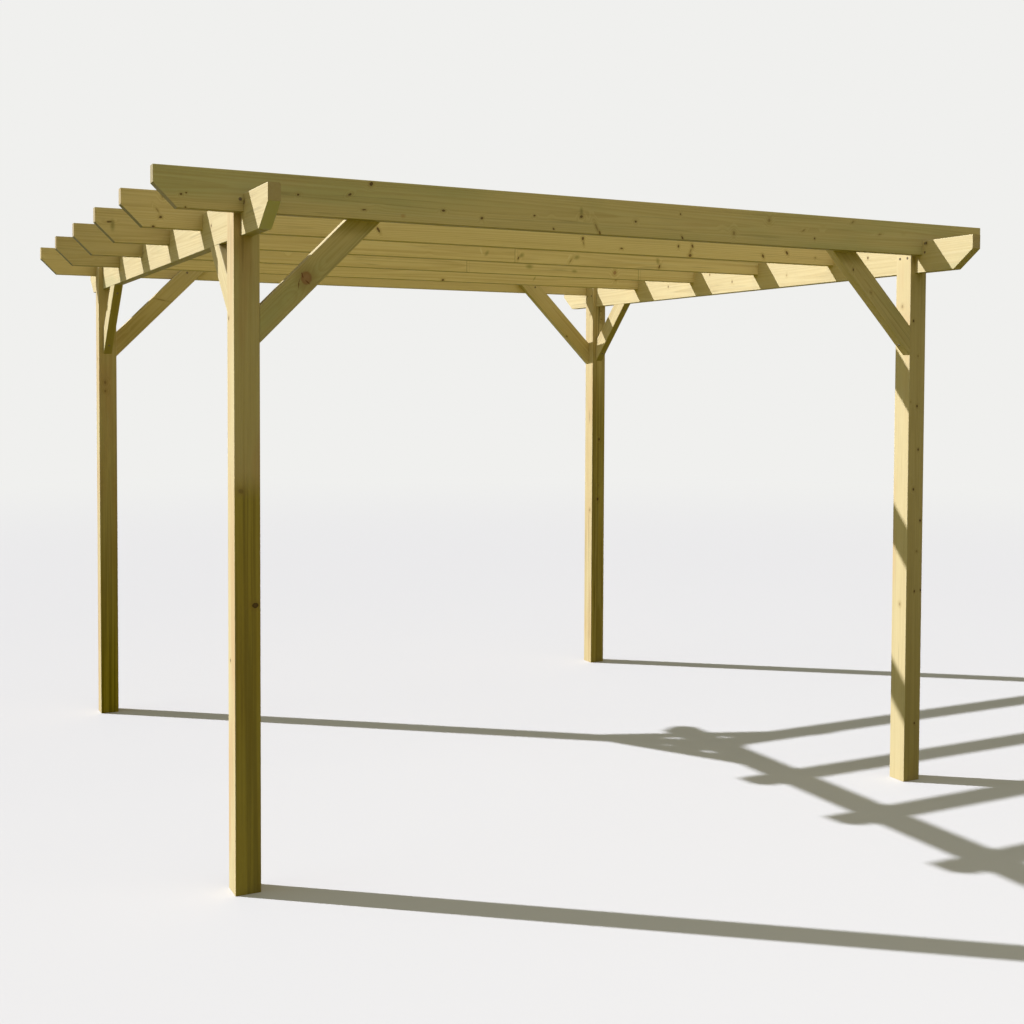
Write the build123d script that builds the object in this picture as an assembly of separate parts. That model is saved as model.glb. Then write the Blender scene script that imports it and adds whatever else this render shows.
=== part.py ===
from build123d import *
import os

# Wooden pergola. Four square posts carry two side beams, which sit in slots sawn in the
# post heads. Six rafters are cross-halved over the beams, the first and the last just
# outside the posts, and two knee braces stiffen each post.
# Millimetres. X runs along the rafters, Y along the beams from front to back, Z is up.
# The origin is on the ground, at the centre of the frame.

# Planed timber
post_width = 95
beam_thickness = 45
beam_depth = 145
rafter_thickness = 45
rafter_depth = 145
brace_thickness = 45
brace_depth = 95
arris_radius = 3  # the long edges are eased

# Frame
post_centres_x = 3170
post_centres_y = 2940
headroom = 2380  # from the ground to the underside of the beams
rafter_count = 6
beam_overhang = 350  # past the outer faces of the posts
rafter_overhang = 290
end_nose = 62  # upright part of a shaped end, above its sloping cut
end_slope = 45  # degrees from level

# Joints
fit_clearance = 0.5  # each side of a timber in its slot or notch
halving_lap = 65  # how far a rafter and a beam are let into each other
brace_angle = 45  # degrees from level
beam_brace_drop = 360  # from the underside of the beam to the toe on the post
rafter_brace_drop = 460  # from the underside of the rafter to the toe on the post
rafter_brace_lap = 100  # how far the brace runs up the inner face of the rafter

# Places that follow from the sizes above
post_height = headroom + beam_depth
rafter_underside = post_height - halving_lap
inner_face_x = (post_centres_x - post_width) / 2
inner_face_y = (post_centres_y - post_width) / 2
outer_face_x = (post_centres_x + post_width) / 2
outer_face_y = (post_centres_y + post_width) / 2
beam_length = 2 * (outer_face_y + beam_overhang)
rafter_length = 2 * (outer_face_x + rafter_overhang)
first_rafter_y = -outer_face_y - rafter_thickness / 2
rafter_spacing = -2 * first_rafter_y / (rafter_count - 1)
rafter_places = [first_rafter_y + n * rafter_spacing for n in range(rafter_count)]
beam_places = [-post_centres_x / 2, post_centres_x / 2]


def planed_timber(length, depth, thickness):
    """A timber on edge along X, centred on the origin, with its underside at Z = 0."""
    section = Plane.YZ * RectangleRounded(thickness, depth, arris_radius)
    return Pos(-length / 2, 0, depth / 2) * extrude(section, length)


def end_waste(length, depth, thickness):
    """The two wedges sawn off the lower corners of a beam or a rafter."""
    below_cut = (Align.CENTER, Align.CENTER, Align.MAX)
    waste = Rot(Y=-end_slope) * Box(4 * depth, 2 * thickness, 2 * depth, align=below_cut)
    right = Pos(length / 2, 0, depth - end_nose) * waste
    return [right, mirror(right, about=Plane.YZ)]


def notch_waste(places, width, thickness, level):
    """Blocks that cut half the lap into a timber's upper or lower edge at places along X."""
    block = Box(width + 2 * fit_clearance, 2 * thickness, halving_lap)
    return [Pos(x, 0, level) * block for x in places]


def post():
    blank = extrude(RectangleRounded(post_width, post_width, arris_radius), post_height)
    slot = Box(beam_thickness + 2 * fit_clearance, 2 * post_width, 2 * beam_depth)
    return blank - Pos(0, 0, post_height) * slot


def beam():
    timber = planed_timber(beam_length, beam_depth, beam_thickness)
    timber -= end_waste(beam_length, beam_depth, beam_thickness)
    timber -= notch_waste(rafter_places, rafter_thickness, beam_thickness, beam_depth)
    return Rot(Z=90) * timber


def rafter():
    timber = planed_timber(rafter_length, rafter_depth, rafter_thickness)
    timber -= end_waste(rafter_length, rafter_depth, rafter_thickness)
    return timber - notch_waste(beam_places, beam_thickness, rafter_thickness, 0)


def knee_brace(drop, lap):
    """A brace that leaves a post face at X = 0 towards +X. Its toe is the given drop below
    Z = 0, its foot is cut upright and its top is cut level, the lap above Z = 0."""
    reach = 4 * (drop + lap + brace_depth)
    stick = Rot(Y=-brace_angle) * planed_timber(reach, brace_depth, brace_thickness)
    corner = Box(reach, 2 * brace_thickness, reach, align=(Align.MIN, Align.CENTER, Align.MAX))
    return (Pos(0, 0, -drop) * stick) & (Pos(0, 0, lap) * corner)


def frame_pieces():
    """Every piece of the pergola by name, in its place."""
    pieces = {}
    corner_post = post()
    side_beam = beam()
    roof_rafter = rafter()
    beam_brace = knee_brace(beam_brace_drop, 0)
    rafter_brace = knee_brace(rafter_brace_drop, rafter_brace_lap)
    for end, y_side in (("front", -1), ("back", 1)):
        for side, x_side in (("left", -1), ("right", 1)):
            corner = f"{end}_{side}"
            post_x = x_side * post_centres_x / 2
            post_y = y_side * post_centres_y / 2
            pieces[f"{corner}_post"] = Pos(post_x, post_y, 0) * corner_post
            along_beam = Pos(post_x, y_side * inner_face_y, headroom) * Rot(Z=-90 * y_side)
            pieces[f"{corner}_beam_brace"] = along_beam * beam_brace
            brace_y = y_side * (outer_face_y - brace_thickness / 2)
            along_rafter = Pos(x_side * inner_face_x, brace_y, rafter_underside)
            turn = Rot(Z=90 + 90 * x_side)
            pieces[f"{corner}_rafter_brace"] = along_rafter * turn * rafter_brace
    for side, x in zip(("left", "right"), beam_places):
        pieces[f"{side}_beam"] = Pos(x, 0, headroom) * side_beam
    for number, y in enumerate(rafter_places, start=1):
        pieces[f"rafter_{number}"] = Pos(0, y, rafter_underside) * roof_rafter
    return pieces


os.makedirs("parts", exist_ok=True)
for name, piece in frame_pieces().items():
    export_step(piece, f"parts/{name}.step")
print(f"{rafter_count} rafters at {rafter_spacing:.1f} mm centres, top at {rafter_underside + rafter_depth:.0f} mm")
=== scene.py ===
import math
import random
import bpy
from mathutils import Euler, Matrix, Vector


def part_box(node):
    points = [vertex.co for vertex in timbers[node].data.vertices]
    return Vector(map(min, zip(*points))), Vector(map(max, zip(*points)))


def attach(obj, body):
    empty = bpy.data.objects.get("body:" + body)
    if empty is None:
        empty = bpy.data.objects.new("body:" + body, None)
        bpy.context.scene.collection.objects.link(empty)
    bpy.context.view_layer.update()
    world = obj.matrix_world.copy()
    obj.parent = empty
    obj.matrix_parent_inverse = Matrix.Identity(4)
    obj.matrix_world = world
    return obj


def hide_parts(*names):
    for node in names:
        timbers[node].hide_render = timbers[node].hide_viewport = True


# A wooden pergola of planed, pressure-treated softwood. Metres, +Z up.
# Rafters run along X, beams along Y, and the front is towards -Y.

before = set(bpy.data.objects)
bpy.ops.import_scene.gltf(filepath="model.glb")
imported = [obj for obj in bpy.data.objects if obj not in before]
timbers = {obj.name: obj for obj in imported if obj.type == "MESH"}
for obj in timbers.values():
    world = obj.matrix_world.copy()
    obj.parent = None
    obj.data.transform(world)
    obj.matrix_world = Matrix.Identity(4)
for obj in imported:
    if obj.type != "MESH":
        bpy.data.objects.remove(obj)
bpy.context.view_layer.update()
print("frame loaded:", len(timbers), "timbers")

ends = {"front": -1, "back": 1}
sides = {"left": -1, "right": 1}

# Camera

photoView = {
    "stand": (-2.829, -6.148, 1.848),
    "turn": 26.46,  # degrees from +Y towards +X
    "tilt": -1.95,  # degrees, down
    "roll": 0.23,
    "lens": 46.06,
    "cropShift": -0.0792,  # the picture's centre lies below the optical axis
    "farthest": 300,  # nothing past this is drawn
}


def addCamera(view):
    camera = bpy.data.objects.new("photoCamera", bpy.data.cameras.new("photoCamera"))
    bpy.context.scene.collection.objects.link(camera)
    camera.location = view["stand"]
    turns = (90 + view["tilt"], -view["roll"], -view["turn"])
    camera.rotation_euler = [math.radians(angle) for angle in turns]
    camera.data.lens = view["lens"]
    camera.data.shift_y = view["cropShift"]
    camera.data.clip_end = view["farthest"]
    bpy.context.scene.camera = camera


addCamera(photoView)
bpy.context.scene.view_settings.view_transform = "Standard"
print("camera placed")

# Nodes for the materials


def paint(red, green, blue):
    # a colour as seen on screen, 0 to 255, turned into the linear one that nodes take
    channels = [channel / 255 for channel in (red, green, blue)]
    linear = [c / 12.92 if c < 0.04045 else ((c + 0.055) / 1.055) ** 2.4 for c in channels]
    return (*linear, 1)


def grey(brightness):
    return (brightness, brightness, brightness, 1)


def newMaterial(name):
    material = bpy.data.materials.new(name)
    material.use_nodes = True
    material.node_tree.nodes.clear()
    return material


def addNode(tree, kind, sockets=None, **settings):
    node = tree.nodes.new("ShaderNode" + kind)
    for name, value in settings.items():
        setattr(node, name, value)
    for name, value in (sockets or {}).items():
        if isinstance(value, bpy.types.NodeSocket):
            tree.links.new(value, node.inputs[name])
        else:
            node.inputs[name].default_value = value
    return node


def sums(tree, operation, first, second=0.0, third=0.0):
    node = addNode(tree, "Math", {0: first, 1: second, 2: third}, operation=operation)
    return node.outputs["Value"]


def vectors(tree, operation, *inputs):
    node = addNode(tree, "VectorMath", dict(enumerate(inputs)), operation=operation)
    return node.outputs["Value" if operation in ("LENGTH", "DOT_PRODUCT") else "Vector"]


def fade(tree, value, start, end):
    # 0 before start and 1 past end, or the other way round where end is the lower
    limits = {"Value": value, "From Min": start, "From Max": end}
    return addNode(tree, "MapRange", limits, interpolation_type="SMOOTHSTEP").outputs["Result"]


def spread(tree, value, low, high):
    # 0 to 1 drawn out to other limits
    limits = {"Value": value, "To Min": low, "To Max": high}
    return addNode(tree, "MapRange", limits).outputs["Result"]


def blendColour(tree, amount, under, over, how="MIX"):
    mix = addNode(tree, "MixRGB", {"Fac": amount, "Color1": under, "Color2": over}, blend_type=how)
    return mix.outputs["Color"]


def overlay(tree, colour, mask, share, tone):
    # a tone laid over a colour where the mask is 1, as strongly as the share says
    return blendColour(tree, sums(tree, "MULTIPLY", mask, share), colour, tone)


noiseMiddle = 0.5  # what a noise varies about


def noise(tree, place, scale, detail=2.0):
    return addNode(tree, "TexNoise", {"Vector": place, "Scale": scale, "Detail": detail}).outputs


def addSurface(tree, sockets):
    shader = addNode(tree, "BsdfPrincipled", sockets)
    addNode(tree, "OutputMaterial", {"Surface": shader.outputs[0]})


# Light and floor

suns = {
    "sunLight": {
        "direction": (1.0, -0.765, -0.907),  # from the left, behind and above
        "strength": 5.6,
        "softness": 0.6,  # degrees across
        "tint": (0.97, 1.0, 1.2),
    },
    "leftLight": {
        "direction": (1.0, -0.3, -0.5),
        "strength": 0.5,
        "softness": 60.0,
        "tint": (0.55, 0.75, 1.0),
    },
}
softBox = {
    "place": (0.8, -5.0, 6.5),  # above the front
    "target": (0.3, -0.8, 2.2),
    "size": (7.0, 2.0),
    "power": 64.0,
    "tint": (1.0, 0.97, 0.84),
}
sky = {
    "fillStrength": 0.28,
    "fillTint": (1.0, 0.97, 0.76, 1),
    "backdrop": paint(240, 240, 238),
}
studioFloor = {
    "size": 160,
    "drop": 0.0005,  # below the feet
    "seen": paint(206, 203, 194),
    "bounce": paint(128, 121, 34),  # what the floor throws back up
    "fade": (6.0, 20.0),  # how far out it turns into the backdrop
}


def addSun(name, sun):
    lamp = bpy.data.objects.new(name, bpy.data.lights.new(name, "SUN"))
    bpy.context.scene.collection.objects.link(lamp)
    lamp.rotation_euler = Vector(sun["direction"]).to_track_quat("-Z", "Y").to_euler()
    lamp.data.energy = sun["strength"]
    lamp.data.color = sun["tint"]
    lamp.data.angle = math.radians(sun["softness"])


def addSoftBox():
    lamp = bpy.data.objects.new("softBox", bpy.data.lights.new("softBox", "AREA"))
    bpy.context.scene.collection.objects.link(lamp)
    lamp.location = softBox["place"]
    aim = Vector(softBox["target"]) - Vector(softBox["place"])
    lamp.rotation_euler = aim.to_track_quat("-Z", "Y").to_euler()
    lamp.data.shape = "RECTANGLE"
    lamp.data.size, lamp.data.size_y = softBox["size"]
    lamp.data.energy = softBox["power"]
    lamp.data.color = softBox["tint"]
    lamp.visible_camera = False


def seenDirectly(tree):
    # 1 on rays that come from the camera or off a shiny surface
    path = addNode(tree, "LightPath").outputs
    glossy = sums(tree, "MAXIMUM", path["Is Glossy Ray"], path["Is Transmission Ray"])
    return sums(tree, "MAXIMUM", path["Is Camera Ray"], glossy)


def addSky():
    world = bpy.data.worlds.new("studio")
    bpy.context.scene.world = world
    world.use_nodes = True
    tree = world.node_tree
    tree.nodes.clear()
    fill = addNode(tree, "Background", {"Color": sky["fillTint"], "Strength": sky["fillStrength"]})
    backdrop = addNode(tree, "Background", {"Color": sky["backdrop"], "Strength": 1.0})
    shaders = {0: seenDirectly(tree), 1: fill.outputs[0], 2: backdrop.outputs[0]}
    mixed = addNode(tree, "MixShader", shaders)
    addNode(tree, "OutputWorld", {"Surface": mixed.outputs[0]})


def addFloor():
    bpy.ops.object.select_all(action="DESELECT")
    bpy.ops.mesh.primitive_plane_add(size=studioFloor["size"], location=(0, 0, -studioFloor["drop"]))
    floor = bpy.context.object
    floor.name = "studioFloor"
    material = newMaterial("palePaintedFloor")
    tree = material.node_tree
    seen = seenDirectly(tree)
    colour = blendColour(tree, seen, studioFloor["bounce"], studioFloor["seen"])
    matt = addNode(tree, "BsdfDiffuse", {"Color": colour})
    distance = vectors(tree, "LENGTH", addNode(tree, "TexCoord").outputs["Object"])
    far = fade(tree, distance, *studioFloor["fade"])
    glow = addNode(tree, "Emission", {"Color": sky["backdrop"], "Strength": 1.0})
    amount = sums(tree, "MULTIPLY", far, seen)
    mixed = addNode(tree, "MixShader", {0: amount, 1: matt.outputs[0], 2: glow.outputs[0]})
    addNode(tree, "OutputMaterial", {"Surface": mixed.outputs[0]})
    floor.data.materials.append(material)


for name, sun in suns.items():
    addSun(name, sun)
addSoftBox()
addSky()
addFloor()
print("light and floor ready")

# Timber. Each one has its own grain: rings about a pith beside the timber, streaks, knots.

wood = {
    "golden": paint(208, 190, 139),
    "olive": paint(188, 180, 130),
    "tan": paint(202, 170, 122),
    "lateWood": paint(168, 142, 90),
    "streak": paint(162, 136, 86),
    "paleStreak": paint(214, 202, 158),
    # painted shade: a dark olive for the faces that look down
    "underside": paint(122, 110, 34),
    "weathered": paint(206, 196, 156),
    "endGrain": paint(146, 128, 100),
    "arris": paint(213, 198, 154),
    "check": paint(60, 46, 28),
    "knotHalo": paint(150, 120, 66),
    # painted shade for the sloping cuts that look down
    "cutShadeTint": (0.52, 0.58, 0.34, 1),
    "cutLightTint": paint(192, 188, 184),
    # painted shade: the darker, greener tint of a post's front and back near the ground
    "footShadeTint": paint(168, 150, 42),
    "footShadeStreak": paint(130, 116, 12),
    "roughness": (0.6, 0.8),
    "gloss": 0.12,
    "refraction": 1.45,
}
grain = {
    "seed": 100,
    "shift": 40,  # how far apart the timbers' patterns may start
    "ringWidth": (0.0034, 0.0052),
    "ringWander": 0.022,  # how far a ring strays along the timber
    "ringBulge": 0.007,  # how far a knot pushes the rings aside
    "ringTaper": 0.004,  # how far they spread in a metre
    "pithOut": (0.03, 0.10),  # from the timber's face
    "pithAcross": (-0.5, 0.5),  # from its middle, in half depths
    "toneSwing": 0.5,  # how much sooner those tones show on a timber that is full of them
    "tanShare": 0.8,
    "lateShare": 0.26,
    "lateOnEnds": 0.3,  # added where the timber is sawn across
    "darkShare": 0.3,
    "paleShare": 0.28,
    "fineShare": 0.18,
    "checkShare": 0.2,
    "checkSwing": 0.55,  # added on a timber with many drying checks
    "topShare": 0.45,
    "endShare": 0.5,
    "arrisShare": 0.4,
    "arrisReach": (0.006, 0.0015),  # in from the edge
}
# how far each thing stands out, or lies low
relief = {"late": 0.08, "fibres": 0.12, "checks": -0.9, "knots": -0.35, "depth": 0.001, "strength": 0.9}

# Patterns drawn out along the grain: features a metre along, through and across the timber, how
# far each is shifted from the others, and its detail
patterns = {
    "wander": ((0.6, 2.4, 2.4), 0, 1.0),
    "patches": ((1.1, 6, 6), 11, 3.0),
    "blush": ((1.8, 12, 12), 23, 2.0),
    "streaks": ((1.1, 100, 100), 37, 3.0),
    "fibres": ((14, 900, 900), 51, 2.0),
    "checkLines": ((0.4, 38, 38), 67, 0.5),
    "checkBreaks": ((2.6, 12, 12), 79, 1.0),
}

# Where a thing starts to show, and where it shows in full
fades = {
    "sawn": (0.3, 0.55),  # how far a face looks along the grain
    "side": (0.6, 0.9),  # how far it looks across a post
    "below": (-0.3, -0.65),  # how far it looks up
    "above": (0.6, 0.95),
    "late": (0.2, 0.88),  # from one ring to the next
    "lateEnd": (1.0, 0.93),
    "olive": (0.75, 0.98),  # on the patterns
    "tan": (0.8, 1.1),
    "dark": (0.5, 0.75),
    "pale": (0.46, 0.26),
    "fine": (0.45, 0.75),
    "check": (0.016, 0.004),
    "checkBreak": (0.52, 0.62),
    "footShadeStreak": (0.38, 0.62),
    "worn": (0.3, 0.6),
    "bulge": (4.5, 0.6),  # in knot sizes from a knot's middle
    "halo": (2.8, 0.9),
    "knotEdge": (0.3, 0.9),
    "knotHollow": (0.4, 0.9),
    "tip": (-1.5, -1.62),  # along a rafter, where the painted shade on its left end starts and is full
}

plainTone = {
    "olive": 0.35,  # shares of these two tones
    "tan": 0.35,
    "shade": 0.98,  # brightness, partly the timber's own tone and partly painted light: how brightly its faces in shade were lit
    "sides": 1.0,  # painted light: times that on a post's left and right faces, brighter than its front and back
    "tip": 1.0,  # painted shade: and times that on a rafter's left end, beyond the left beam
    "streaks": 1.0,  # how strongly the grain shows
    "checks": 0.0,  # how many more drying checks show
    "cuts": 0.9,  # painted shade: how far the sloping cuts that look down are darkened
    "under": 0.65,  # painted shade: how darkly the underside is painted
    "cutLightShare": 0.0,  # painted light: how far the sloping cuts are painted paler
}

# How single timbers differ from a plain one. A post also has a foot: painted shade, how far its front and
# back are painted darker and greener towards the ground, and the heights from its middle where that starts
# and is full.
timberTones = {
    "rafter_1": {"olive": 0.7, "tan": 0.3, "shade": 0.95, "cuts": 0.55},
    "rafter_2": {"olive": 0.15, "tan": 0.25, "shade": 1.19, "tip": 0.87},
    "rafter_3": {"olive": 0.3, "tan": 0.15, "shade": 1.15, "tip": 0.85},
    "rafter_4": {"olive": 0.2, "tan": 0.2, "shade": 1.16, "tip": 0.8},
    "rafter_5": {"olive": 0.25, "tan": 0.2, "shade": 1.17, "tip": 0.78},
    "rafter_6": {"olive": 0.1, "tan": 0.4, "shade": 1.11},
    "front_left_post": {
        "olive": 0.0,
        "tan": 0.9,
        "shade": 0.78,
        "sides": 1.27,
        "streaks": 0.5,
        "foot": (0.75, 0.29, 0.16),
    },
    "front_right_post": {
        "olive": 0.2,
        "tan": 0.6,
        "shade": 0.77,
        "sides": 1.33,
        "streaks": 0.7,
        "foot": (0.3, 0.0, -1.2),
    },
    "back_left_post": {
        "olive": 0.1,
        "tan": 0.8,
        "shade": 0.8,
        "sides": 1.19,
        "streaks": 1.2,
        "foot": (1.0, 0.6, -1.2),
    },
    "back_right_post": {
        "olive": 0.3,
        "tan": 0.7,
        "shade": 0.86,
        "sides": 1.19,
        "streaks": 2.2,
        "checks": 1.0,
        "foot": (0.65, 1.1, 0.2),
    },
    "left_beam": {
        "olive": 0.5,
        "tan": 0.2,
        "shade": 0.97,
        "streaks": 0.8,
        "cuts": 0.0,
        "under": 0.75,
        "cutLightShare": 0.95,
    },
    "right_beam": {
        "olive": 0.4,
        "tan": 0.2,
        "shade": 1.0,
        "streaks": 0.75,
        "cuts": 0.0,
        "cutLightShare": 0.2,
    },
    "front_left_rafter_brace": {"olive": 0.7, "tan": 0.1, "shade": 0.87},
    "front_right_rafter_brace": {"olive": 0.6, "tan": 0.2, "shade": 0.83, "under": 0.0},
    "back_left_rafter_brace": {"shade": 0.89},
    "back_right_rafter_brace": {"shade": 0.94, "under": 0.2},
}

# Kinds of knot: the colours of its heart and edge, the share of the wood that it covers, where
# it starts to fade, and how far it darkens the wood about it
knotKinds = {
    "dark": (paint(98, 72, 44), paint(54, 40, 26), 0.88, 0.7, 0.35),
    "soft": (paint(134, 110, 70), paint(104, 82, 48), 0.65, 0.3, 0.25),
    "red": (paint(162, 120, 90), paint(148, 106, 74), 0.8, 0.75, 0.35),
    "blush": (paint(176, 138, 92), paint(172, 138, 92), 0.6, 0.2, 0.0),
    "crack": (paint(108, 70, 40), paint(120, 80, 48), 0.85, 0.4, 0.0),
    "flame": (paint(140, 130, 80), paint(148, 136, 86), 0.75, 0.0, 0.0),
    "pale": (paint(218, 206, 160), paint(216, 204, 158), 0.6, 0.1, 0.0),
}
knotLook = {
    "depth": 0.014,  # how far it reaches into the timber
    "outline": 1.1,  # where it ends, in knot sizes from its middle
    "raggedScale": 220.0,
    "raggedReach": 0.005,
    "beyond": 99.0,  # further from a knot than any fade reaches
}

# Knots on the faces that the picture shows, which on the right beam is its left one: along the
# timber, up its wide face, half width, how much longer than wide, how far that long way leans
# in degrees, kind
nearFaceKnots = {
    "rafter_1": [
        (-1.827, -0.025, 0.0038, 1.2, 80, "dark"),
        (-1.809, -0.019, 0.0026, 1.2, 80, "dark"),
        (-1.812, -0.069, 0.0026, 1.3, 60, "dark"),
        (-1.409, 0.001, 0.0038, 1.3, 85, "dark"),
        (-1.213, 0.015, 0.0040, 2.0, 65, "dark"),
        (-1.158, -0.037, 0.0030, 2.6, 88, "dark"),
        (-1.130, 0.060, 0.0065, 1.3, 30, "dark"),
        (-1.004, -0.050, 0.010, 1.4, 90, "blush"),
        (-0.840, -0.020, 0.0042, 1.7, 85, "dark"),
        (-0.679, -0.039, 0.0051, 1.2, 70, "dark"),
        (-0.451, -0.015, 0.0034, 1.4, 85, "dark"),
        (-0.366, -0.062, 0.0034, 1.4, -40, "dark"),
        (-0.240, -0.006, 0.0055, 1.3, 80, "dark"),
        (-0.240, 0.014, 0.012, 2.0, 0, "flame"),
        (-0.170, -0.045, 0.005, 4.0, -24, "soft"),
        (-0.155, -0.066, 0.0038, 2.0, -20, "dark"),
        (0.014, -0.011, 0.0043, 1.3, 85, "dark"),
        (0.232, 0.033, 0.0034, 1.2, 0, "dark"),
        (0.242, -0.064, 0.0038, 2.2, -30, "dark"),
        (0.503, -0.031, 0.007, 1.5, 0, "soft"),
        (0.688, 0.035, 0.008, 1.2, 20, "soft"),
        (0.875, 0.002, 0.003, 3.0, 60, "soft"),
        (0.936, -0.030, 0.0043, 1.1, 0, "dark"),
        (1.150, 0.054, 0.004, 2.5, 60, "soft"),
        (1.307, 0.008, 0.003, 2.8, 80, "soft"),
    ],
    "rafter_2": [
        (-1.800, -0.069, 0.004, 1.5, 85, "dark"),
        (-1.772, -0.031, 0.005, 1.2, 80, "dark"),
        (-1.784, -0.005, 0.003, 3.5, -35, "soft"),
        (-1.763, 0.049, 0.006, 1.2, 0, "soft"),
        (-0.870, -0.030, 0.005, 2.6, -32, "dark"),
        (0.116, -0.013, 0.006, 1.3, 10, "dark"),
        (0.120, -0.035, 0.004, 2.6, -10, "soft"),
        (0.321, -0.048, 0.0035, 2.2, 85, "dark"),
        (0.633, -0.022, 0.005, 1.4, 0, "dark"),
        (0.712, -0.017, 0.005, 1.8, -25, "dark"),
        (0.702, -0.040, 0.005, 2.6, 20, "soft"),
        (0.699, -0.062, 0.007, 1.3, 80, "dark"),
        (1.125, -0.045, 0.006, 1.6, -30, "dark"),
        (1.270, -0.022, 0.006, 1.8, -40, "dark"),
        (1.447, -0.038, 0.005, 1.3, 80, "soft"),
    ],
    "rafter_3": [
        (-1.863, 0.013, 0.0035, 3.4, 85, "dark"),
        (-1.850, 0.000, 0.014, 2.6, 0, "flame"),
        (-0.074, -0.034, 0.012, 1.9, 38, "flame"),
        (-0.104, -0.026, 0.007, 3.4, -20, "pale"),
        (0.099, -0.050, 0.004, 2.2, 30, "dark"),
        (0.118, -0.035, 0.015, 1.4, 60, "flame"),
        (0.385, -0.034, 0.006, 3.0, 25, "pale"),
        (0.394, -0.050, 0.004, 3.4, 35, "soft"),
        (0.430, -0.030, 0.016, 1.5, 70, "flame"),
        (0.915, -0.028, 0.014, 1.7, -10, "flame"),
        (0.925, -0.056, 0.0045, 2.4, 22, "dark"),
    ],
    "rafter_4": [
        (0.477, -0.026, 0.018, 1.8, 90, "flame"),
        (0.760, -0.040, 0.012, 2.2, 90, "flame"),
        (1.023, -0.037, 0.009, 1.3, 20, "red"),
    ],
    "rafter_5": [
        (0.226, -0.066, 0.006, 1.5, 80, "dark"),
        (0.828, -0.034, 0.007, 3.0, 35, "flame"),
        (1.400, -0.020, 0.006, 1.6, 40, "soft"),
    ],
    "front_left_post": [(0.205, 0.024, 0.010, 1.2, 20, "soft"), (-0.210, -0.028, 0.010, 1.3, 0, "dark")],
    "front_right_post": [
        (0.896, 0.027, 0.0045, 1.3, 90, "dark"),
        (0.734, -0.003, 0.004, 1.2, 90, "soft"),
        (0.500, -0.002, 0.005, 1.3, 90, "dark"),
        (0.520, 0.037, 0.0035, 1.2, 90, "soft"),
        (0.298, -0.013, 0.005, 1.2, 90, "dark"),
        (0.112, 0.013, 0.005, 1.3, 90, "dark"),
        (-0.036, -0.031, 0.005, 1.3, 90, "dark"),
        (-0.180, -0.012, 0.005, 1.2, 90, "soft"),
        (-0.368, -0.001, 0.0045, 1.3, 90, "dark"),
        (-0.364, -0.040, 0.0045, 1.3, 90, "dark"),
        (-0.992, -0.013, 0.0045, 1.2, 90, "dark"),
    ],
    "back_left_post": [(0.598, 0.015, 0.008, 1.3, 90, "soft"), (0.550, 0.015, 0.007, 1.3, 90, "soft")],
    "back_right_post": [
        (1.088, -0.014, 0.004, 1.4, 90, "dark"),
        (1.062, -0.012, 0.004, 1.2, 90, "soft"),
        (1.034, -0.015, 0.004, 1.3, 90, "dark"),
        (1.016, -0.013, 0.004, 1.2, 90, "soft"),
        (0.234, -0.005, 0.006, 1.4, 90, "dark"),
        (-0.075, -0.001, 0.005, 1.3, 90, "soft"),
        (-0.166, 0.003, 0.007, 1.4, 90, "dark"),
    ],
    "front_left_rafter_brace": [
        (-0.104, 0.0, 0.022, 1.2, 45, "red"),
        (-0.108, 0.017, 0.003, 5.0, 29, "crack"),
        (-0.111, -0.014, 0.003, 5.0, -4, "crack"),
        (-0.140, 0.004, 0.0022, 11.0, 52, "crack"),
    ],
    "front_right_rafter_brace": [
        (0.115, -0.021, 0.004, 1.8, 45, "dark"),
        (-0.029, -0.016, 0.005, 1.3, 80, "soft"),
    ],
    "back_left_rafter_brace": [(0.022, 0.007, 0.003, 12.0, -35, "soft")],
    "back_right_rafter_brace": [(-0.149, -0.040, 0.0045, 1.3, 80, "dark")],
    "right_beam": [
        (-1.588, 0.060, 0.0055, 1.2, 0, "dark"),
        (0.557, 0.002, 0.005, 1.3, 0, "dark"),
        (0.125, 0.042, 0.0045, 1.3, 0, "dark"),
        (-0.092, -0.013, 0.005, 1.3, 0, "dark"),
        (-0.575, -0.012, 0.0045, 1.3, 0, "soft"),
        (-1.198, 0.025, 0.005, 1.3, 0, "dark"),
    ],
}
# Knots on the other faces, strewn in whorls by a seeded draw
hiddenKnots = {
    "spacing": 0.62,
    "along": (0.15, 0.85),  # of that spacing
    "acrossEdge": 0.6,  # of the way out from the middle
    "acrossFace": 0.7,
    "size": (0.004, 0.010),
    "stretch": 1.3,
    "lean": 20,
    "softShare": 0.45,
}

# Finger joints, where two lengths are glued end to end: how far along the rafter they lie
fingerJoints = {"rafter_3": [0.080], "rafter_4": [0.099, 1.180]}
fingerLook = {
    "length": 0.015,
    "pitch": 0.0075,
    "line": (0.0009, 0.00054),  # half width of the glue, and of the part that shows in full
    "tipLine": (0.00072, 0.00036),
    "tipShare": 0.4,
    "apart": (0.7, 0.012, 0.031),  # how far the grain jumps at a joint
}

brace = {"depth": 0.095, "lean": 45}  # metres, and degrees from level
towardsCamera = Vector((-0.6, -1, 0))  # roughly, which tells the near face of a timber


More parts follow.
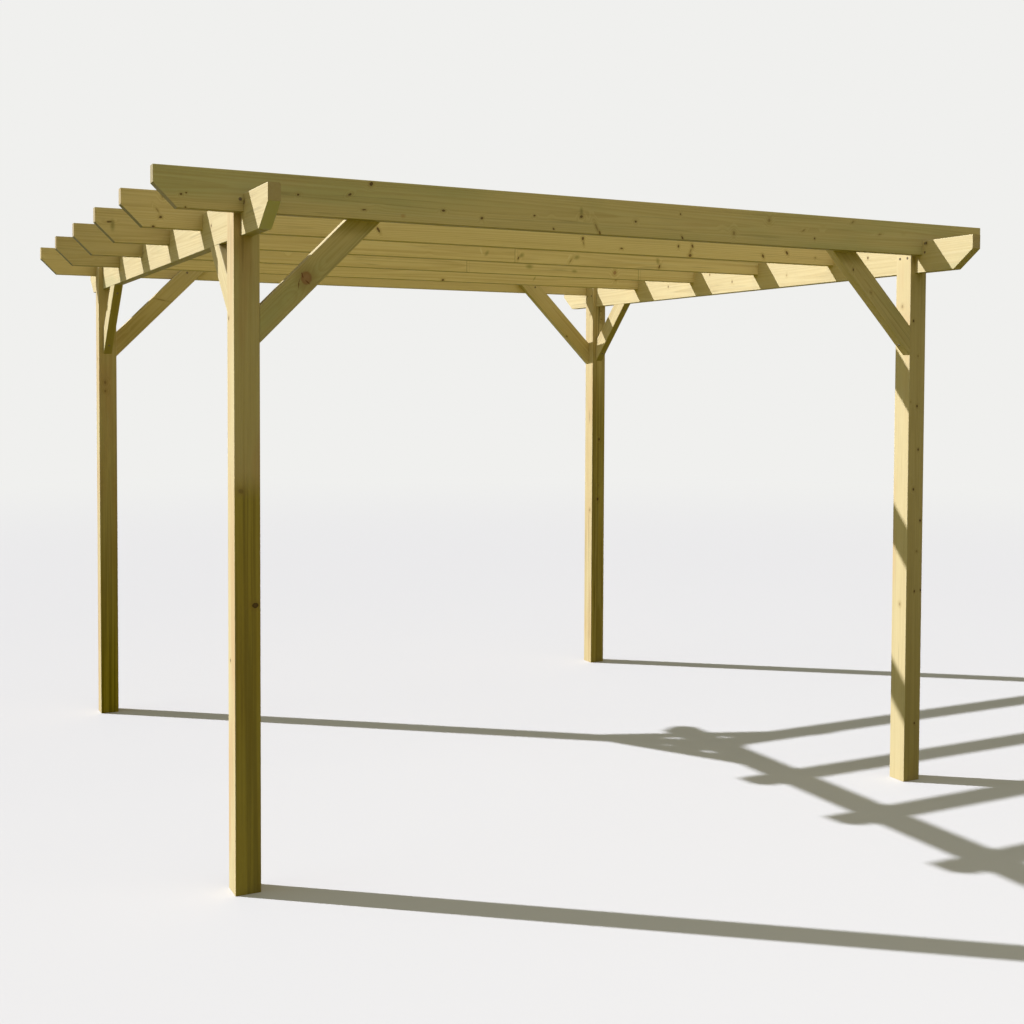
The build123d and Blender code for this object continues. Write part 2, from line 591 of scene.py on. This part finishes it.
def placeTimber(name):
    # where a timber lies: its middle, how its own X (along the grain) and Z (across its depth)
    # are turned, half its section, and which of its own Y faces is the one in the picture
    low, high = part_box(name)
    middle, size = (low + high) / 2, high - low
    lean, turn, length = 0, 0, max(size)
    if name.endswith("post"):
        lean = 90
        half = (size.y / 2, size.x / 2)
    elif name.endswith("brace"):
        lean = brace["lean"]
        end, side = name.split("_")[:2]
        alongBeam = "beam_brace" in name
        turn = -90 * ends[end] if alongBeam else 90 + 90 * sides[side]
        half = (min(size.x, size.y) / 2, brace["depth"] / 2)
        length = max(size) / math.cos(math.radians(lean))
    elif name.endswith("beam"):
        turn = 90
        half = (size.x / 2, size.z / 2)
    else:
        half = (size.y / 2, size.z / 2)
    rotation = Euler((0, -math.radians(lean), math.radians(turn)))
    axes = rotation.to_matrix()
    if name.endswith("brace"):
        middle = middle + axes @ Vector((0, 0, brace["depth"] / 2))
    near = 1 if axes @ Vector((0, 1, 0)) @ towardsCamera > 0 else -1
    return {"middle": middle, "rotation": rotation, "half": half, "length": length, "near": near}


def knotList(name, place, draw):
    # each knot is an egg at a face: its middle, half sizes, lean and kind
    halfThickness, halfDepth = place["half"]
    spacing, depth = hiddenKnots["spacing"], knotLook["depth"]
    edge, wide, tilt = (hiddenKnots[key] for key in ("acrossEdge", "acrossFace", "lean"))
    seen = nearFaceKnots.get(name, [])
    knots = []
    for along, up, size, stretch, lean, kind in seen:
        middle = (along, place["near"] * halfThickness, up)
        knots.append((middle, (size, depth, size * stretch), lean, kind))
    for whorl in range(int(place["length"] / spacing)):
        along = (whorl + draw.uniform(*hiddenKnots["along"])) * spacing - place["length"] / 2
        size = draw.uniform(*hiddenKnots["size"])
        long = hiddenKnots["stretch"] * size
        kind = "soft" if draw.random() < hiddenKnots["softShare"] else "dark"
        face = -place["near"] if seen else draw.choice((-1, 1))
        if name.endswith("post") and whorl % 2:
            middle = (along, draw.uniform(-edge, edge) * halfThickness, face * halfDepth)
            knots.append((middle, (long, size, depth), 0, kind))
        else:
            middle = (along, face * halfThickness, draw.uniform(-wide, wide) * halfDepth)
            knots.append((middle, (long, depth, size), draw.uniform(-tilt, tilt), kind))
    return knots


def knotDistance(tree, local, knots):
    # how many knot sizes a point is from the middle of the nearest knot
    nearest = knotLook["beyond"]
    for middle, halfSizes, lean, kind in knots:
        turned = (0, math.radians(lean), 0)
        sockets = {"Vector": local, "Location": middle, "Rotation": turned, "Scale": halfSizes}
        fitted = addNode(tree, "Mapping", sockets, vector_type="TEXTURE").outputs["Vector"]
        nearest = sums(tree, "MINIMUM", nearest, vectors(tree, "LENGTH", fitted))
    return nearest


def knotDistances(tree, local, knots):
    # the same for each kind of knot by itself, with ragged outlines
    mottle = noise(tree, local, knotLook["raggedScale"])["Color"]
    jitter = vectors(tree, "SUBTRACT", mottle, [noiseMiddle] * 3)
    ragged = vectors(tree, "MULTIPLY_ADD", jitter, [knotLook["raggedReach"]] * 3, local)
    distances = {}
    for kind in knotKinds:
        ofKind = [knot for knot in knots if knot[-1] == kind]
        if ofKind:
            distances[kind] = knotDistance(tree, ragged, ofKind)
    return distances


def knotBulge(tree, distances):
    # 1 beside the knots that push the growth rings aside, which are those that darken the wood
    nearest = knotLook["beyond"]
    for kind, distance in distances.items():
        haloShare = knotKinds[kind][-1]
        if haloShare:
            nearest = sums(tree, "MINIMUM", nearest, distance)
    return fade(tree, nearest, *fades["bulge"])


def fingerSteps(tree, separate, places):
    # a number that steps up at each finger joint, and 1 on the thin lines of glue
    length, halfPitch = fingerLook["length"], fingerLook["pitch"] / 2
    zigzag = sums(tree, "PINGPONG", separate["Y"], halfPitch)
    along = sums(tree, "MULTIPLY_ADD", zigzag, -length / halfPitch, separate["X"])
    steps, lines = 0.0, 0.0
    for place in places:
        past = sums(tree, "SUBTRACT", along, place)
        steps = sums(tree, "ADD", steps, sums(tree, "GREATER_THAN", past, 0.0))
        line = fade(tree, sums(tree, "ABSOLUTE", past), *fingerLook["line"])
        tip = sums(tree, "ABSOLUTE", sums(tree, "SUBTRACT", separate["X"], place + length))
        faint = fade(tree, tip, *fingerLook["tipLine"])
        lines = sums(tree, "MAXIMUM", lines, line)
        lines = sums(tree, "MAXIMUM", lines, sums(tree, "MULTIPLY", faint, fingerLook["tipShare"]))
    return steps, lines


def fingerJointed(tree, name, local, separate):
    # the pieces of a finger-jointed timber each have their own grain, with glue between them
    if name not in fingerJoints:
        return local, 0.0
    steps, glue = fingerSteps(tree, separate, fingerJoints[name])
    jump = addNode(tree, "CombineXYZ", {"X": steps, "Y": steps, "Z": steps}).outputs[0]
    return vectors(tree, "MULTIPLY_ADD", jump, fingerLook["apart"], local), glue


def drawGrain(place, draw):
    # where a timber's patterns start, where its pith lies, and how wide its rings are
    halfThickness, halfDepth = place["half"]
    shift = [draw.uniform(-grain["shift"], grain["shift"]) for _ in range(3)]
    pithOut = draw.choice((-1, 1)) * (halfThickness + draw.uniform(*grain["pithOut"]))
    pith = (0, pithOut, draw.uniform(*grain["pithAcross"]) * halfDepth)
    return {"shift": shift, "pith": pith, "ringWidth": draw.uniform(*grain["ringWidth"])}


def patternNoise(tree, kind, grainPlace, shift):
    stretch, apart, detail = patterns[kind]
    start = [along + apart for along in shift]
    moved = addNode(tree, "Mapping", {"Vector": grainPlace, "Location": start, "Scale": stretch})
    return noise(tree, moved.outputs["Vector"], 1.0, detail)["Fac"]


def lateWood(tree, grainPlace, along, wander, bulge, ownGrain):
    # 1 on the dark part of each growth ring. The rings lie about the pith, beside the timber.
    fromPith = vectors(tree, "SUBTRACT", grainPlace, ownGrain["pith"])
    radius = vectors(tree, "LENGTH", vectors(tree, "MULTIPLY", fromPith, (0, 1, 1)))
    taper = sums(tree, "MULTIPLY_ADD", along, grain["ringTaper"], radius)
    strayed = sums(tree, "MULTIPLY_ADD", wander, grain["ringWander"], taper)
    pushed = sums(tree, "MULTIPLY_ADD", bulge, grain["ringBulge"], strayed)
    ring = sums(tree, "FRACT", sums(tree, "DIVIDE", pushed, ownGrain["ringWidth"]))
    return sums(tree, "MULTIPLY", fade(tree, ring, *fades["late"]), fade(tree, ring, *fades["lateEnd"]))


def grainColour(tree, noises, late, sawnEnd, tone):
    # tones, from wide patches down to single fibres
    shares = {}
    for kind, noiseKind in (("olive", "patches"), ("tan", "blush")):
        start, end = (limit - grain["toneSwing"] * tone[kind] for limit in fades[kind])
        shares[kind] = fade(tree, noises[noiseKind], start, end)
    colour = blendColour(tree, shares["olive"], wood["golden"], wood["olive"])
    colour = overlay(tree, colour, shares["tan"], grain["tanShare"], wood["tan"])
    share = grain["lateShare"] * tone["streaks"]
    lateShare = sums(tree, "MULTIPLY_ADD", sawnEnd, grain["lateOnEnds"], share)
    colour = overlay(tree, colour, late, lateShare, wood["lateWood"])
    dark = fade(tree, noises["streaks"], *fades["dark"])
    colour = overlay(tree, colour, dark, grain["darkShare"] * tone["streaks"], wood["streak"])
    pale = fade(tree, noises["streaks"], *fades["pale"])
    colour = overlay(tree, colour, pale, grain["paleShare"], wood["paleStreak"])
    fine = fade(tree, noises["fibres"], *fades["fine"])
    return overlay(tree, colour, fine, grain["fineShare"], wood["streak"])


def dryingChecks(tree, noises, tone):
    # thin and broken, along the grain
    gap = sums(tree, "ABSOLUTE", sums(tree, "SUBTRACT", noises["checkLines"], noiseMiddle))
    broken = fade(tree, noises["checkBreaks"], *fades["checkBreak"])
    thin = sums(tree, "MULTIPLY", fade(tree, gap, *fades["check"]), broken)
    return sums(tree, "MULTIPLY", thin, grain["checkShare"] + grain["checkSwing"] * tone["checks"])


def facing(tree, coordinates, axis, kind):
    # 1 on the faces that look along an axis, either way
    turned = vectors(tree, "DOT_PRODUCT", coordinates["Normal"], axis)
    return fade(tree, sums(tree, "ABSOLUTE", turned), *fades[kind])


def faceMasks(tree, coordinates, grainAxis):
    # the faces sawn across the grain, those that look down or up, and the cuts that look down
    sawn = facing(tree, coordinates, grainAxis, "sawn")
    upward = addNode(tree, "SeparateXYZ", {0: coordinates["Normal"]}).outputs["Z"]
    below = fade(tree, upward, *fades["below"])
    above = fade(tree, upward, *fades["above"])
    return {"sawn": sawn, "below": below, "above": above, "cut": sums(tree, "MULTIPLY", sawn, below)}


def paintFootShade(tree, colour, along, streaks, side, foot):
    # painted shade on a post's foot: its front and back darker and greener towards the ground
    share, start, full = foot
    low = sums(tree, "MULTIPLY", fade(tree, along, start, full), share)
    footShadeAmount = sums(tree, "MULTIPLY", low, sums(tree, "SUBTRACT", 1.0, side))
    streaky = fade(tree, streaks, *fades["footShadeStreak"])
    footShadeColour = blendColour(tree, streaky, wood["footShadeTint"], wood["footShadeStreak"])
    return blendColour(tree, footShadeAmount, colour, footShadeColour)


def ageFaces(tree, colour, faces, tone):
    # paler on top and darker where sawn across, with painted shade underneath and painted light on the
    # sloping cuts
    colour = overlay(tree, colour, faces["above"], grain["topShare"], wood["weathered"])
    sparedCut = sums(tree, "MULTIPLY_ADD", faces["sawn"], tone["cuts"] - 1, 1.0)
    under = sums(tree, "MULTIPLY", faces["below"], sparedCut)
    # painted shade: the faces that look down darker and olive
    colour = overlay(tree, colour, under, tone["under"], wood["underside"])
    colour = overlay(tree, colour, faces["sawn"], grain["endShare"], wood["endGrain"])
    # painted light: the sloping cuts paler and greyer
    return overlay(tree, colour, faces["cut"], tone["cutLightShare"], wood["cutLightTint"])


def wearArrises(tree, colour, separate, half, streaks):
    # lighter along the timber's edges
    near = []
    for axis, out in zip("YZ", half):
        start, end = (out - reach for reach in grain["arrisReach"])
        near.append(fade(tree, sums(tree, "ABSOLUTE", separate[axis]), start, end))
    arris = sums(tree, "MULTIPLY", *near)
    worn = sums(tree, "MULTIPLY", arris, fade(tree, streaks, *fades["worn"]))
    return overlay(tree, colour, worn, grain["arrisShare"], wood["arris"])


def layKnots(tree, colour, distances):
    # knots over all of the wood, and how hollow it is in the dark ones
    hollow = 0.0
    for kind, distance in distances.items():
        heart, edge, cover, fadeFrom, haloShare = knotKinds[kind]
        if haloShare:
            halo = fade(tree, distance, *fades["halo"])
            colour = overlay(tree, colour, halo, haloShare, wood["knotHalo"])
        inside = fade(tree, distance, knotLook["outline"], fadeFrom)
        shown = blendColour(tree, fade(tree, distance, *fades["knotEdge"]), heart, edge)
        colour = overlay(tree, colour, inside, cover, shown)
        if kind == "dark":
            hollow = sums(tree, "MULTIPLY", inside, fade(tree, distance, *fades["knotHollow"]))
    return colour, hollow


def woodShader(tree, colour, streaks, heights):
    # heights is how far each thing that has a relief shows
    height = 0.0
    for kind, amount in heights.items():
        height = sums(tree, "MULTIPLY_ADD", amount, relief[kind], height)
    bump = {"Height": height, "Distance": relief["depth"], "Strength": relief["strength"]}
    surface = {
        "Base Color": colour,
        "Roughness": spread(tree, streaks, *wood["roughness"]),
        "Normal": addNode(tree, "Bump", bump).outputs["Normal"],
        "IOR": wood["refraction"],
        "Specular IOR Level": wood["gloss"],
    }
    addSurface(tree, surface)


def timberMaterial(name, place, tone, draw):
    material = newMaterial(name + "_wood")
    tree = material.node_tree
    isPost = name.endswith("post")

    # places in the timber's own directions, and the faces
    coordinates = addNode(tree, "TexCoord").outputs
    placing = {"Vector": coordinates["Object"], "Location": place["middle"], "Rotation": place["rotation"]}
    local = addNode(tree, "Mapping", placing, vector_type="TEXTURE").outputs["Vector"]
    separate = addNode(tree, "SeparateXYZ", {0: local}).outputs
    axes = place["rotation"].to_matrix()
    faces = faceMasks(tree, coordinates, axes @ Vector((1, 0, 0)))

    # knots and grain
    distances = knotDistances(tree, local, knotList(name, place, draw))
    bulge = knotBulge(tree, distances)
    grainPlace, glue = fingerJointed(tree, name, local, separate)
    ownGrain = drawGrain(place, draw)
    noises = {kind: patternNoise(tree, kind, grainPlace, ownGrain["shift"]) for kind in patterns}
    late = lateWood(tree, grainPlace, separate["X"], noises["wander"], bulge, ownGrain)
    streaks = noises["streaks"]

    # colours, one over the other
    colour = grainColour(tree, noises, late, faces["sawn"], tone)
    check = dryingChecks(tree, noises, tone)
    colour = blendColour(tree, check, colour, wood["check"])
    if isPost:
        side = facing(tree, coordinates, axes @ Vector((0, 0, 1)), "side")
        # painted shade: a post's front and back darker and greener towards the ground
        colour = paintFootShade(tree, colour, separate["X"], streaks, side, tone["foot"])
    colour = ageFaces(tree, colour, faces, tone)
    colour = wearArrises(tree, colour, separate, place["half"], streaks)
    colour = blendColour(tree, glue, colour, wood["check"])
    colour, hollow = layKnots(tree, colour, distances)

    # brightness: partly the timber's own tone and partly painted light, with painted shade on the downward
    # cuts and a rafter's left end, and painted light on a post's sides
    colour = blendColour(tree, 1.0, colour, grey(tone["shade"]), "MULTIPLY")
    # painted shade on the sloping cuts that look down
    cutShadeAmount = sums(tree, "MULTIPLY", faces["cut"], tone["cuts"])
    colour = blendColour(tree, cutShadeAmount, colour, wood["cutShadeTint"], "MULTIPLY")
    # painted light: a post's left and right faces brighter than its front and back
    if isPost:
        colour = blendColour(tree, side, colour, grey(tone["sides"]), "MULTIPLY")
    # painted shade: a rafter's left end darker, beyond the left beam
    if tone["tip"] < 1:
        tipShadeMask = fade(tree, separate["X"], *fades["tip"])
        colour = blendColour(tree, tipShadeMask, colour, grey(tone["tip"]), "MULTIPLY")

    heights = {"fibres": noises["fibres"], "late": late, "checks": check, "knots": hollow}
    woodShader(tree, colour, streaks, heights)
    return material


for number, name in enumerate(sorted(timbers)):
    draw = random.Random(grain["seed"] + number)
    tone = {**plainTone, **timberTones.get(name, {})}
    material = timberMaterial(name, placeTimber(name), tone, draw)
    for materialSlot in timbers[name].material_slots:
        materialSlot.material = material
print("timbers finished:", len(timbers))


def activate(piece):
    bpy.ops.object.select_all(action="DESELECT")
    piece.select_set(True)
    bpy.context.view_layer.objects.active = piece


# Beams. Their sloping cuts run longer and flatter than the rafters' do, so a copy of each beam
# is cut again at both ends.

beamCut = {
    "nose": 0.062,  # upright part of the end, above the cut
    "slope": 36.0,  # degrees from level
    "weld": 0.00001,  # corners closer than this are one
}


def cutBeam(name):
    beam = bpy.data.objects.new(name + "_shaped", timbers[name].data.copy())
    bpy.context.scene.collection.objects.link(beam)
    activate(beam)
    low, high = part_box(name)
    slope = math.radians(beamCut["slope"])
    bpy.ops.object.mode_set(mode="EDIT")
    bpy.ops.mesh.select_all(action="SELECT")
    bpy.ops.mesh.remove_doubles(threshold=beamCut["weld"])
    for way, tip in ((-1, low.y), (1, high.y)):
        nose = (0, tip, high.z - beamCut["nose"])
        outwards = (0, way * math.sin(slope), -math.cos(slope))
        bpy.ops.mesh.select_all(action="SELECT")
        bpy.ops.mesh.bisect(plane_co=nose, plane_no=outwards, use_fill=True, clear_outer=True)
    bpy.ops.object.mode_set(mode="OBJECT")
    bpy.ops.mesh.customdata_custom_splitnormals_clear()
    bpy.ops.object.shade_flat()
    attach(beam, "root")
    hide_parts(name)


for side in sides:
    cutBeam(side + "_beam")
print("beams cut")

# Screws. A countersunk head with a six-lobed recess, on a flat disc of painted shade for its bored hole.

screw = {
    "headWidth": 0.0095,
    "headRise": 0.0007,
    "headEdge": 0.0004,
    "recessWidth": 0.0048,
    "recessDepth": 0.0006,
    "lobes": 6,
    "betweenLobes": 0.72,  # how far out the recess reaches there, beside its lobes
    "holeShadeWidth": 0.0130,
    "holeShadeRise": 0.00015,
    "seat": 0.0015,  # how deep the modelled part goes into the timber
    "sides": 24,
    "bevelSteps": 2,
    "levelSlack": 0.000001,  # a corner this far below the top still counts as on it
}
steel = {
    "bright": paint(118, 110, 90),
    "dull": paint(70, 63, 52),
    "mottleScale": 900.0,
    "mottle": (0.35, 0.7),
    "roughness": (0.3, 0.55),
}
holeShade = {
    "dark": paint(104, 82, 50),
    "light": paint(156, 130, 84),
    "mottleScale": 700.0,
    "roughness": 0.85,
}


def steelMaterial():
    material = newMaterial("dull_zinc_steel")
    tree = material.node_tree
    mottle = noise(tree, addNode(tree, "TexCoord").outputs["Object"], steel["mottleScale"])["Fac"]
    colour = blendColour(tree, fade(tree, mottle, *steel["mottle"]), steel["bright"], steel["dull"])
    rough = spread(tree, mottle, *steel["roughness"])
    addSurface(tree, {"Base Color": colour, "Metallic": 1.0, "Roughness": rough})
    return material


# painted shade: a mottled dark brown disc for the countersunk hole about a head
def holeShadeMaterial():
    material = newMaterial("painted_hole_shade")
    tree = material.node_tree
    mottle = noise(tree, addNode(tree, "TexCoord").outputs["Object"], holeShade["mottleScale"])["Fac"]
    colour = blendColour(tree, mottle, holeShade["dark"], holeShade["light"])
    addSurface(tree, {"Base Color": colour, "Roughness": holeShade["roughness"]})
    return material


def addDrum(width, top, seat, sidesCount):
    # a short upright cylinder from the seat below the face to the top above it
    bpy.ops.object.select_all(action="DESELECT")
    bpy.ops.mesh.primitive_cylinder_add(
        vertices=sidesCount, radius=width / 2, depth=top + seat, location=(0, 0, (top - seat) / 2)
    )
    drum = bpy.context.object
    bpy.ops.object.transform_apply(location=True, rotation=True, scale=True)
    return drum


def bevelTop(piece, top, size):
    corners = piece.data.vertices
    for corner in corners:
        corner.select = corner.co.z > top - screw["levelSlack"]
    for edge in piece.data.edges:
        edge.select = all(corners[index].select for index in edge.vertices)
    for polygon in piece.data.polygons:
        polygon.select = False
    bpy.ops.object.mode_set(mode="EDIT")
    bpy.ops.mesh.bevel(offset=size, segments=screw["bevelSteps"], affect="EDGES")
    bpy.ops.object.mode_set(mode="OBJECT")


def cutRecess(head):
    # every other corner of the cutter is drawn in, which makes the lobes
    top, corners = screw["headRise"], 2 * screw["lobes"]
    cutter = addDrum(screw["recessWidth"], 2 * top, screw["recessDepth"] - top, corners)
    for vertex in cutter.data.vertices:
        turn = math.degrees(math.atan2(vertex.co.y, vertex.co.x))
        if round(turn / (360 / corners)) % 2:
            vertex.co.x *= screw["betweenLobes"]
            vertex.co.y *= screw["betweenLobes"]
    activate(head)
    recess = head.modifiers.new("recess", "BOOLEAN")
    recess.object = cutter
    recess.operation = "DIFFERENCE"
    bpy.ops.object.modifier_apply(modifier="recess")
    bpy.data.objects.remove(cutter)


def makeScrew():
    head = addDrum(screw["headWidth"], screw["headRise"], screw["seat"], screw["sides"])
    bevelTop(head, screw["headRise"], screw["headEdge"])
    cutRecess(head)
    head.data.materials.clear()
    head.data.materials.append(steelMaterial())
    # a flat disc of painted shade for the hole about the head
    ring = addDrum(screw["holeShadeWidth"], screw["holeShadeRise"], screw["seat"], screw["sides"])
    bevelTop(ring, screw["holeShadeRise"], screw["holeShadeRise"] / 2)
    ring.data.materials.append(holeShadeMaterial())
    activate(head)
    ring.select_set(True)
    bpy.ops.object.join()
    head.name = "screw"
    return head


def driveScrews(name, pattern, places):
    # places are points on the timber with the way that the head looks
    copies = []
    for point, outward in places:
        activate(pattern)
        bpy.ops.object.duplicate()
        copy = bpy.context.object
        turned = Vector(outward).to_track_quat("Z", "Y").to_matrix().to_4x4()
        copy.matrix_world = Matrix.Translation(point) @ turned
        copies.append(copy)
    bpy.ops.object.select_all(action="DESELECT")
    for copy in copies:
        copy.select_set(True)
    bpy.context.view_layer.objects.active = copies[0]
    bpy.ops.object.join()
    bpy.ops.object.transform_apply(location=True, rotation=True, scale=True)
    piece = bpy.context.object
    piece.name = name
    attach(piece, "root")


screwPlaces = {
    "cheekSpread": 0.024,  # either side of the post's middle
    "cheekDrop": 0.075,  # below the post's top
    "rafterToPost": 0.035,  # outwards from the beam's middle
    "rafterToPostDrop": 0.021,
    "skewOut": 0.018,  # past the end rafter
    "skewHeights": (-0.013, -0.054),  # from the beam's top
    "skewLean": 0.25,
    "braceFoot": 0.065,
    "braceHead": 0.060,
    "lapIn": 0.117,  # from the far end of the brace to the middle of its lap
    "lapDown": 0.050,
    "lapStep": (0.036, 0.015),
}


def cheekPlaces():
    # in the inner cheek of each post's head, into the beam
    places = []
    for name in [f"{end}_{side}_post" for end in ends for side in sides]:
        low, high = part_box(name)
        height = high.z - screwPlaces["cheekDrop"]
        middle = (low.y + high.y) / 2
        innerFace, inward = (high.x, 1) if high.x < 0 else (low.x, -1)
        for step in (-screwPlaces["cheekSpread"], screwPlaces["cheekSpread"]):
            places.append(((innerFace, middle + step, height), (inward, 0, 0)))
    return places


def beamPlaces():
    # where a beam meets the rafters: from above, into the posts, and askew beside the end ones
    rafters = sorted(name for name in timbers if name.startswith("rafter_"))
    frontFace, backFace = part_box(rafters[0])[0].y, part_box(rafters[-1])[1].y
    fromAbove, intoPosts, askew = [], [], []
    for side in sides:
        beamLow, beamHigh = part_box(side + "_beam")
        beamX = (beamLow.x + beamHigh.x) / 2
        innerFace, inward = (beamHigh.x, 1) if beamX < 0 else (beamLow.x, -1)
        for rafter in rafters:
            low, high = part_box(rafter)
            fromAbove.append(((beamX, (low.y + high.y) / 2, high.z), (0, 0, 1)))
        postX = beamX - inward * screwPlaces["rafterToPost"]
        postZ = beamHigh.z - screwPlaces["rafterToPostDrop"]
        intoPosts.append(((postX, frontFace, postZ), (0, -1, 0)))
        intoPosts.append(((postX, backFace, postZ), (0, 1, 0)))
        for drop in screwPlaces["skewHeights"]:
            for face, outward in ((frontFace, -1), (backFace, 1)):
                point = (innerFace, face + outward * screwPlaces["skewOut"], beamHigh.z + drop)
                askew.append((point, (inward, outward * screwPlaces["skewLean"], 0)))
    return fromAbove, intoPosts, askew


def bracePlaces():
    # in the lower edges of the braces, and where the rafter braces lap a rafter
    edges, laps = [], []
    for name in sorted(name for name in timbers if name.endswith("brace")):
        place = placeTimber(name)
        low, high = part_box(name)
        axes = place["rotation"].to_matrix()
        along, across = axes @ Vector((1, 0, 0)), axes @ Vector((0, 0, 1))
        lowerEdge = place["middle"] - across * place["half"][1]
        reach = (high.z - low.z) / math.sqrt(2)  # from the middle of the lower edge to its toe
        edges.append((lowerEdge - along * (reach - screwPlaces["braceFoot"]), -across))
        if "beam_brace" in name:
            edges.append((lowerEdge + along * (reach - screwPlaces["braceHead"]), -across))
        else:
            end, side = name.split("_")[:2]
            farX = high.x if side == "left" else low.x
            innerY = high.y if end == "front" else low.y
            for step in (-1, 1):
                stepOut, stepUp = (step * size for size in screwPlaces["lapStep"])
                lapX = farX + sides[side] * (screwPlaces["lapIn"] + stepOut)
                lapZ = high.z - screwPlaces["lapDown"] - stepUp
                laps.append(((lapX, innerY, lapZ), (0, -ends[end], 0)))
    return edges, laps


fromAbove, intoPosts, askew = beamPlaces()
braceEdges, braceLaps = bracePlaces()
pattern = makeScrew()
driveScrews("post_cheek_screws", pattern, cheekPlaces())
driveScrews("rafter_top_screws", pattern, fromAbove)
driveScrews("rafter_to_post_screws", pattern, intoPosts)
driveScrews("beam_skew_screws", pattern, askew)
driveScrews("brace_edge_screws", pattern, braceEdges)
driveScrews("brace_lap_screws", pattern, braceLaps)
bpy.data.objects.remove(pattern)
print("screws driven")
